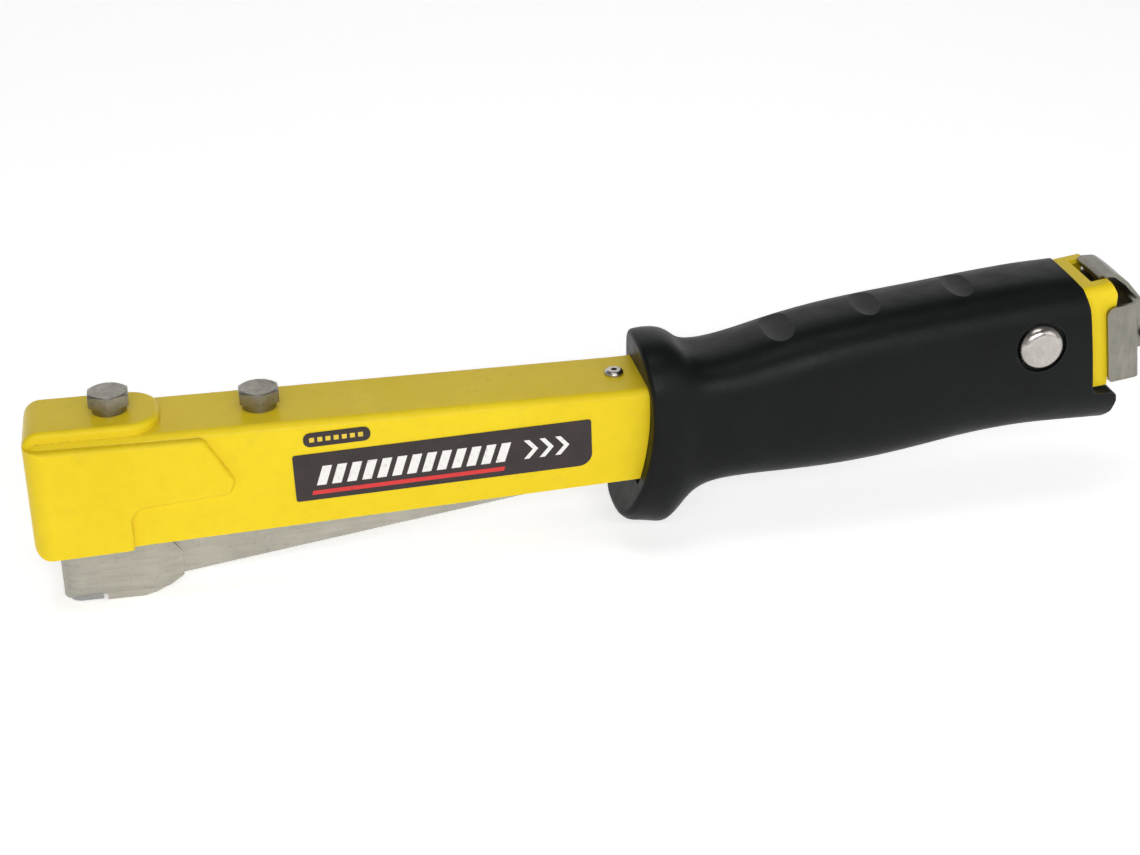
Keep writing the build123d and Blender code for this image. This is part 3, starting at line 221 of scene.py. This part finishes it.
def metal(name, dark, light, rough, grain, grain_size, metallic=1.0, spots=0.0, bump=0.01 * MM):
    """A plated or ground steel: drifting tone, stretched grain, tiny pits and brighter rubbed edges."""
    s = Shader(name)
    lines = s.noise(grain_size, detail=4.0, stretch=grain, rough=0.6)
    pits = s.patches(1.1 * MM, 0.62, 0.72, strength=spots)
    tone = s.mix(s.patches(12 * MM, 0.3, 0.7, detail=4.0, rough=0.6), dark, light)
    tone = s.mix(s.ramp(lines, 0.35, 0.7, to_high=0.35), tone, tuple(0.72 * c for c in dark))
    tone = s.mix(pits, tone, tuple(0.35 * c for c in dark))
    wear = s.ramp(s.noise(2.5 * MM, detail=4.0), 0.35, 0.6, to_low=0.4)
    rub = s.math("MULTIPLY", s.edges(0.5 * MM), wear)
    tone = s.mix(s.math("MULTIPLY", rub, 0.25), tone, tuple(min(1, 1.35 * c + 0.06) for c in light))
    marks = s.math("ADD", lines, s.math("MULTIPLY", pits, 0.5))
    dullness = s.ramp(marks, 0.3, 0.8, to_low=rough[0], to_high=rough[1])
    normal = s.bump(lines, bump)
    normal = s.bump(s.noise(0.7 * MM), bump * 0.6, under=normal)
    return s.finish(tone, dullness, normal, Metallic=metallic)


FILM = (0.022, 0.010, 0.010)
FILM_DEEP = (0.012, 0.006, 0.006)
FILM_SCRATCH = (0.10, 0.09, 0.085)


def label_film():
    """Printed plastic film: near-black ink with a fine print grain and small scratches."""
    s = Shader("label_film")
    tone = s.mix(s.patches(6 * MM, 0.3, 0.7), FILM_DEEP, FILM)
    scratch = s.patches(1.2 * MM, 0.66, 0.72, strength=0.35, detail=6.0, stretch=(0.12, 1, 1), rough=0.7)
    tone = s.mix(scratch, tone, FILM_SCRATCH)
    rough = s.ramp(s.noise(10 * MM, detail=4.0), 0.3, 0.7, to_low=0.22, to_high=0.42)
    return s.finish(tone, rough, s.bump(s.noise(0.8 * MM, detail=2.0), 0.006 * MM))


def ink(name, colour, worn_colour):
    """One printed ink on the film, thinner in small patches."""
    s = Shader(name)
    thin = s.patches(1.2 * MM, 0.56, 0.70, strength=0.45, detail=4.0, rough=0.65)
    rough = s.ramp(s.noise(4 * MM), 0.3, 0.7, to_low=0.28, to_high=0.44)
    grain = s.bump(s.noise(0.5 * MM, detail=2.0), 0.005 * MM)
    return s.finish(s.mix(thin, colour, worn_colour), rough, grain)


BUMPER = (0.035, 0.033, 0.03)
BUMPER_DEEP = (0.012, 0.012, 0.012)


def bumper_rubber():
    """Matt black rubber with a coarse skin."""
    s = Shader("bumper_rubber")
    tone = s.mix(s.patches(2 * MM, 0.35, 0.7, detail=4.0), BUMPER_DEEP, BUMPER)
    rough = s.ramp(s.noise(3 * MM), 0.3, 0.7, to_low=0.6, to_high=0.8)
    return s.finish(tone, rough, s.bump(s.noise(0.6 * MM), 0.03 * MM))


ALONG = (0.08, 1.0, 1.0)
UPRIGHT = (1.0, 1.0, 0.1)
ROUND = (1.0, 1.0, 1.0)
MATERIALS = {
    "yellow_paint": yellow_paint(),
    "grip_rubber": grip_rubber(),
    "label_film": label_film(),
    "bumper_rubber": bumper_rubber(),
    "bolt_zinc": metal(
        "bolt_zinc", (0.25, 0.235, 0.20), (0.38, 0.36, 0.31), (0.28, 0.50), ROUND, 1.6 * MM,
        spots=0.5, bump=0.04 * MM,
    ),
    "rivet_nickel": metal(
        "rivet_nickel", (0.46, 0.43, 0.40), (0.56, 0.53, 0.49), (0.18, 0.36), ROUND, 2 * MM, spots=0.15,
    ),
    "magazine_steel": metal(
        "magazine_steel", (0.375, 0.36, 0.315), (0.46, 0.44, 0.385), (0.38, 0.56), ALONG, 1.2 * MM,
        metallic=0.85, spots=0.25,
    ),
    "cap_steel": metal(
        "cap_steel", (0.22, 0.21, 0.175), (0.33, 0.315, 0.27), (0.28, 0.44), UPRIGHT, 1 * MM, spots=0.2,
    ),
    "dark_steel": metal(
        "dark_steel", (0.14, 0.14, 0.15), (0.22, 0.22, 0.22), (0.35, 0.60), ROUND, 2 * MM, spots=0.4,
    ),
    "hard_steel": metal(
        "hard_steel", (0.28, 0.28, 0.29), (0.40, 0.40, 0.40), (0.20, 0.38), UPRIGHT, 0.6 * MM,
    ),
    "spring_steel": metal(
        "spring_steel", (0.22, 0.22, 0.23), (0.34, 0.34, 0.34), (0.24, 0.42), ROUND, 1 * MM, spots=0.2,
    ),
}
INK_WHITE = ink("ink_white", (0.78, 0.76, 0.74), (0.35, 0.32, 0.31))
INK_RED = ink("ink_red", (0.62, 0.018, 0.020), (0.25, 0.02, 0.02))
INK_YELLOW = ink("ink_yellow", (0.70, 0.50, 0.03), (0.25, 0.16, 0.02))


def dress(obj, material):
    """Give a piece one material."""
    obj.data.materials.clear()
    obj.data.materials.append(material)
    return obj


for row in frame["record"]["subparts"]:
    dress(frame["nodes"][row["node"]], MATERIALS[row["material_slot"]])


# ---------------------------------------------------------------- pieces in mesh code
MAG_ANGLE = math.radians(8.1)
HINGE = Vector((124.4, 0.0, 58.5)) * MM
ALONG_MAG = Vector((math.cos(MAG_ANGLE), 0.0, math.sin(MAG_ANGLE)))
UP_MAG = Vector((-math.sin(MAG_ANGLE), 0.0, math.cos(MAG_ANGLE)))


def on_magazine(along, up):
    """A point on the magazine's side plane, from millimetres along and above its hinge."""
    return HINGE + ALONG_MAG * (along * MM) + UP_MAG * (up * MM)


def add_mesh(name, points, faces, material, smooth=True):
    """One new mesh object in the scene."""
    mesh = bpy.data.meshes.new(name)
    mesh.from_pydata([tuple(p) for p in points], [], faces)
    mesh.validate()
    for polygon in mesh.polygons:
        polygon.use_smooth = smooth
    made = bpy.data.objects.new(name, mesh)
    bpy.context.scene.collection.objects.link(made)
    return dress(made, material)


def wind(name, start, end, around, radius, wire, turns, steps, ring, climb=lambda share: share):
    """Round wire wound from start to end, from the first direction in around towards the second.

    climb says how far along the line the wire has got for its share of the turns.
    """
    axis = (end - start).normalized()
    length = (end - start).length - wire
    count = int(turns * steps)
    points = []
    for k in range(count + 1):
        share = k / count
        angle = 2 * math.pi * turns * share
        out = around[0] * math.cos(angle) + around[1] * math.sin(angle)
        middle = start + axis * (wire / 2 + climb(share) * length) + out * radius
        for j in range(ring):
            turn = 2 * math.pi * j / ring
            points.append(middle + (out * math.cos(turn) + axis * math.sin(turn)) * wire / 2)
    faces = []
    for k in range(count):
        for j in range(ring):
            a, b = k * ring + j, k * ring + (j + 1) % ring
            faces.append((a, b, b + ring, a + ring))
    faces.append(tuple(reversed(range(ring))))
    faces.append(tuple(range(count * ring, (count + 1) * ring)))
    return add_mesh(name, points, faces, MATERIALS["spring_steel"])


BACKWARDS = Vector((1.0, 0.0, 0.0))
ACROSS = Vector((0.0, 1.0, 0.0))
UPWARDS = Vector((0.0, 0.0, 1.0))
CLOSED_TURNS = 0.75
CLOSED_PITCH = 1.05  # in wire diameters


def compression_coil(name, start, end, radius, wire, turns, steps, ring):
    """A coil whose end turns lie closed."""
    around = (ACROSS, (end - start).normalized().cross(ACROSS).normalized())
    tight = CLOSED_TURNS / turns
    rise = CLOSED_TURNS * CLOSED_PITCH * wire / ((end - start).length - wire)

    def climb(share):
        if share < tight:
            return share / tight * rise
        if share > 1 - tight:
            return 1 - (1 - share) / tight * rise
        return rise + (share - tight) / (1 - 2 * tight) * (1 - 2 * rise)

    return wind(name, start, end, around, radius, wire, turns, steps, ring, climb)


RETURN_SPRING_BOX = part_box("return_spring")
RETURN_WIRE = 1.8 * MM
RETURN_TURNS = 3.5


def make_return_spring():
    """The short stiff coil between the head and the magazine."""
    low, high = RETURN_SPRING_BOX
    x = (low[0] + high[0]) / 2
    radius = (high[0] - low[0] - RETURN_WIRE) / 2
    start, end = Vector((x, 0.0, low[2])), Vector((x, 0.0, high[2]))
    spring = compression_coil(
        "return_coil", start, end, radius, RETURN_WIRE, RETURN_TURNS, steps=48, ring=12,
    )
    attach(spring, "housing")
    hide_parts("return_spring")
    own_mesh(spring)


PUSHER_SPRING_START = -269.6
PUSHER_SPRING_END = 14.9
ROD_UP = -0.6
PUSHER_SPRING_R = 3.0 * MM
PUSHER_WIRE = 0.7 * MM
PUSHER_TURNS = 96


def make_pusher_spring():
    """The long thin coil on the guide rod."""
    start = on_magazine(PUSHER_SPRING_START, ROD_UP)
    end = on_magazine(PUSHER_SPRING_END, ROD_UP)
    spring = compression_coil(
        "pusher_coil", start, end, PUSHER_SPRING_R - PUSHER_WIRE / 2, PUSHER_WIRE, PUSHER_TURNS,
        steps=18, ring=6,
    )
    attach(spring, "loader")
    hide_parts("pusher_spring")
    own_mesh(spring)


LATCH_PIN = (36.5, -6.5)
LATCH_COIL_START_Y = 7.9 * MM
LATCH_COIL_R = 2.15 * MM
LATCH_WIRE = 0.5 * MM
LATCH_TURNS = 2.6


def make_latch_coils():
    """A small torsion coil on each side of the latch's barrel."""
    coil_end_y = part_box("latch_springs")[1][1]
    pin = on_magazine(*LATCH_PIN)
    for sign, word in SIDES:
        inner = Vector((pin.x, sign * LATCH_COIL_START_Y, pin.z))
        outer = Vector((pin.x, sign * coil_end_y, pin.z))
        spring = wind(
            f"latch_coil_{word}", inner, outer, (BACKWARDS, UPWARDS), LATCH_COIL_R, LATCH_WIRE,
            LATCH_TURNS, steps=28, ring=8,
        )
        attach(spring, "loader")
        if sign < 0:
            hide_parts("latch_springs")


# The prints are drawn in millimetres along and above the front lower corner of each sticker.
LABEL_SLOPE = math.tan(math.radians(1.9))
LABEL_CORNER = (-97.6, 29.1)
BADGE_CORNER = (-94.2, 46.2)
PRINT_FACE_Y = 13.7
PRINT_PROUD = 0.03
PRINT_SUNK = 0.1


def printed(name, shapes, corner, ink_material):
    """Flat printed shapes on the stickers of both sides."""
    for sign, word in SIDES:
        points, faces = [], []
        for outline in shapes:
            count = len(outline)
            base = len(points)
            for depth in (PRINT_PROUD, -PRINT_SUNK):
                for along, up in outline:
                    x = corner[0] + along
                    z = corner[1] + up + along * LABEL_SLOPE
                    points.append(Vector((x, sign * (PRINT_FACE_Y + depth), z)) * MM)
            top = tuple(range(base, base + count))
            faces.append(top if sign < 0 else tuple(reversed(top)))
            for k in range(count):
                a, b = base + k, base + (k + 1) % count
                quad = (a, a + count, b + count, b)
                faces.append(quad if sign < 0 else tuple(reversed(quad)))
        piece = add_mesh(f"{name}_{word}", points, faces, ink_material, smooth=False)
        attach(piece, "housing")


def bar(start, width, low, high, lean=0.0):
    """A bar as an outline; lean is how far it goes along for each millimetre up."""
    foot, head = start + low * lean, start + high * lean
    return [(foot, low), (foot + width, low), (head + width, high), (head, high)]


BAR_START = 5.0
BAR_COUNT = 13
BAR_PITCH = 4.3
BAR_WIDTH = 2.7
BAR_LOW, BAR_HIGH = 4.6, 10.6
BAR_LEAN = 0.32
CHEVRON_START = 66.4
CHEVRON_COUNT = 3
CHEVRON_PITCH = 4.6
CHEVRON_WIDTH = 1.6
CHEVRON_REACH = 2.6
STRIPE = [(5.0, 1.7), (60.4, 1.7), (60.9, 3.0), (5.4, 3.0)]
DASH_START = 1.7
DASH_COUNT = 7
DASH_PITCH = 2.3
DASH_WIDTH = 1.4
DASH_LOW, DASH_HIGH = 1.5, 2.9


def chevron(start):
    """An arrowhead that points along the tool, as an outline."""
    middle = (BAR_LOW + BAR_HIGH) / 2
    inner, tip = start + CHEVRON_REACH, start + CHEVRON_REACH + CHEVRON_WIDTH
    return [
        (start, BAR_LOW),
        (start + CHEVRON_WIDTH, BAR_LOW),
        (tip, middle),
        (start + CHEVRON_WIDTH, BAR_HIGH),
        (start, BAR_HIGH),
        (inner, middle),
    ]


def make_prints():
    """Generic graphics: a row of even leaning bars, three chevrons, a stripe, and dashes on the badge."""
    white = [
        bar(BAR_START + BAR_PITCH * k, BAR_WIDTH, BAR_LOW, BAR_HIGH, BAR_LEAN)
        for k in range(BAR_COUNT)
    ]
    white += [chevron(CHEVRON_START + CHEVRON_PITCH * k) for k in range(CHEVRON_COUNT)]
    printed("print_white", white, LABEL_CORNER, INK_WHITE)
    printed("print_red", [STRIPE], LABEL_CORNER, INK_RED)
    dashes = [
        bar(DASH_START + DASH_PITCH * k, DASH_WIDTH, DASH_LOW, DASH_HIGH)
        for k in range(DASH_COUNT)
    ]
    printed("print_badge", dashes, BADGE_CORNER, INK_YELLOW)


make_return_spring()
make_pusher_spring()
make_latch_coils()
make_prints()


# ---------------------------------------------------------------- stage, light and camera
FLOOR_HALF = 3.0
FLOOR_Z = -0.3 * MM
FLOOR_GLOW = 0.47
FLOOR_WHITE = (0.93, 0.93, 0.925)
FLOOR_GREY = (0.90, 0.90, 0.90)
FLOOR_ROUGHNESS = 0.75
BACKDROP_Y = 2.2
BACKDROP_R = 0.6
BACKDROP_TOP = 2.0
BACKDROP_STEPS = 12


def make_stage():
    """A pale floor that rises into a backdrop far behind the tool."""
    rows = [(-FLOOR_HALF, 0.0)]
    for k in range(BACKDROP_STEPS + 1):
        turn = math.pi / 2 * k / BACKDROP_STEPS
        rows.append((BACKDROP_Y + BACKDROP_R * math.sin(turn), BACKDROP_R * (1 - math.cos(turn))))
    rows.append((BACKDROP_Y + BACKDROP_R, BACKDROP_TOP))
    points = [(x, y, z + FLOOR_Z) for y, z in rows for x in (-FLOOR_HALF, FLOOR_HALF)]
    faces = [(2 * k, 2 * k + 1, 2 * k + 3, 2 * k + 2) for k in range(len(rows) - 1)]
    s = Shader("floor_paper")
    tone = s.mix(s.patches(0.5, 0.3, 0.7, detail=2.0), FLOOR_GREY, FLOOR_WHITE)
    grain = s.bump(s.noise(2 * MM, detail=2.0), 0.02 * MM)
    paper = s.finish(
        tone, FLOOR_ROUGHNESS, grain,
        Emission_Color=(1.0, 1.0, 1.0, 1.0), Emission_Strength=FLOOR_GLOW,
    )
    add_mesh("floor", points, faces, paper)


WORLD_HORIZON = (0.46, 0.46, 0.46, 1.0)
WORLD_ZENITH = (0.12, 0.12, 0.125, 1.0)
HORIZON_END = 0.15
ZENITH_START = 0.75


def make_world():
    """A studio that is pale at eye level and darker overhead."""
    world = bpy.data.worlds.new("studio")
    bpy.context.scene.world = world
    world.use_nodes = True
    tree = world.node_tree
    place = tree.nodes.new("ShaderNodeTexCoord")
    split = tree.nodes.new("ShaderNodeSeparateXYZ")
    ramp = tree.nodes.new("ShaderNodeValToRGB")
    low, high = ramp.color_ramp.elements
    low.color, high.color = WORLD_HORIZON, WORLD_ZENITH
    low.position, high.position = HORIZON_END, ZENITH_START
    tree.links.new(place.outputs["Generated"], split.inputs[0])
    tree.links.new(split.outputs["Z"], ramp.inputs["Fac"])
    tree.links.new(ramp.outputs["Color"], tree.nodes["Background"].inputs["Color"])
    tree.nodes["Background"].inputs["Strength"].default_value = 1.0


LIGHT_AIM = Vector((0.0, 0.0, 0.04))
# name: (place, width and height in metres, watts)
LIGHTS = {
    "key": ((-0.12, -1.25, 0.66), (0.9, 0.35), 5.6),
    "strip": ((-0.20, -1.20, 0.78), (1.4, 0.08), 4.2),
    "fill": ((0.9, -0.9, 0.5), (0.7, 0.7), 2.0),
    "rim": ((0.1, 0.9, 0.9), (1.0, 0.4), 0.8),
    "top": ((-0.1, -0.25, 1.3), (0.8, 0.5), 3.0),
}


def make_lights():
    """Soft rectangular lights aimed at the tool."""
    for name, (place, size, watts) in LIGHTS.items():
        data = bpy.data.lights.new(name, "AREA")
        data.shape = "RECTANGLE"
        data.size, data.size_y = size
        data.energy = watts
        light = bpy.data.objects.new(name, data)
        light.location = place
        light.rotation_euler = (LIGHT_AIM - Vector(place)).to_track_quat("-Z", "Y").to_euler()
        bpy.context.scene.collection.objects.link(light)


CAMERA_AIM = Vector((-0.01476, 0.0, 0.03759))
CAMERA_DISTANCE = 0.60
CAMERA_AZIMUTH = math.radians(-11.79)
CAMERA_ELEVATION = math.radians(27.06)
LENS = 63.947
SENSOR = 36.0


def make_camera():
    """The view from the near side, a little to the head's side and above."""
    back = Vector((
        math.sin(CAMERA_AZIMUTH) * math.cos(CAMERA_ELEVATION),
        -math.cos(CAMERA_AZIMUTH) * math.cos(CAMERA_ELEVATION),
        math.sin(CAMERA_ELEVATION),
    ))
    data = bpy.data.cameras.new("camera")
    data.sensor_width = SENSOR
    data.lens = LENS
    data.clip_start = 10 * MM
    camera = bpy.data.objects.new("camera", data)
    camera.location = CAMERA_AIM + back * CAMERA_DISTANCE
    camera.rotation_euler = (-back).to_track_quat("-Z", "Y").to_euler()
    bpy.context.scene.collection.objects.link(camera)
    bpy.context.scene.camera = camera


make_stage()
make_world()
make_camera()
make_lights()
bpy.context.scene.view_settings.view_transform = "Standard"
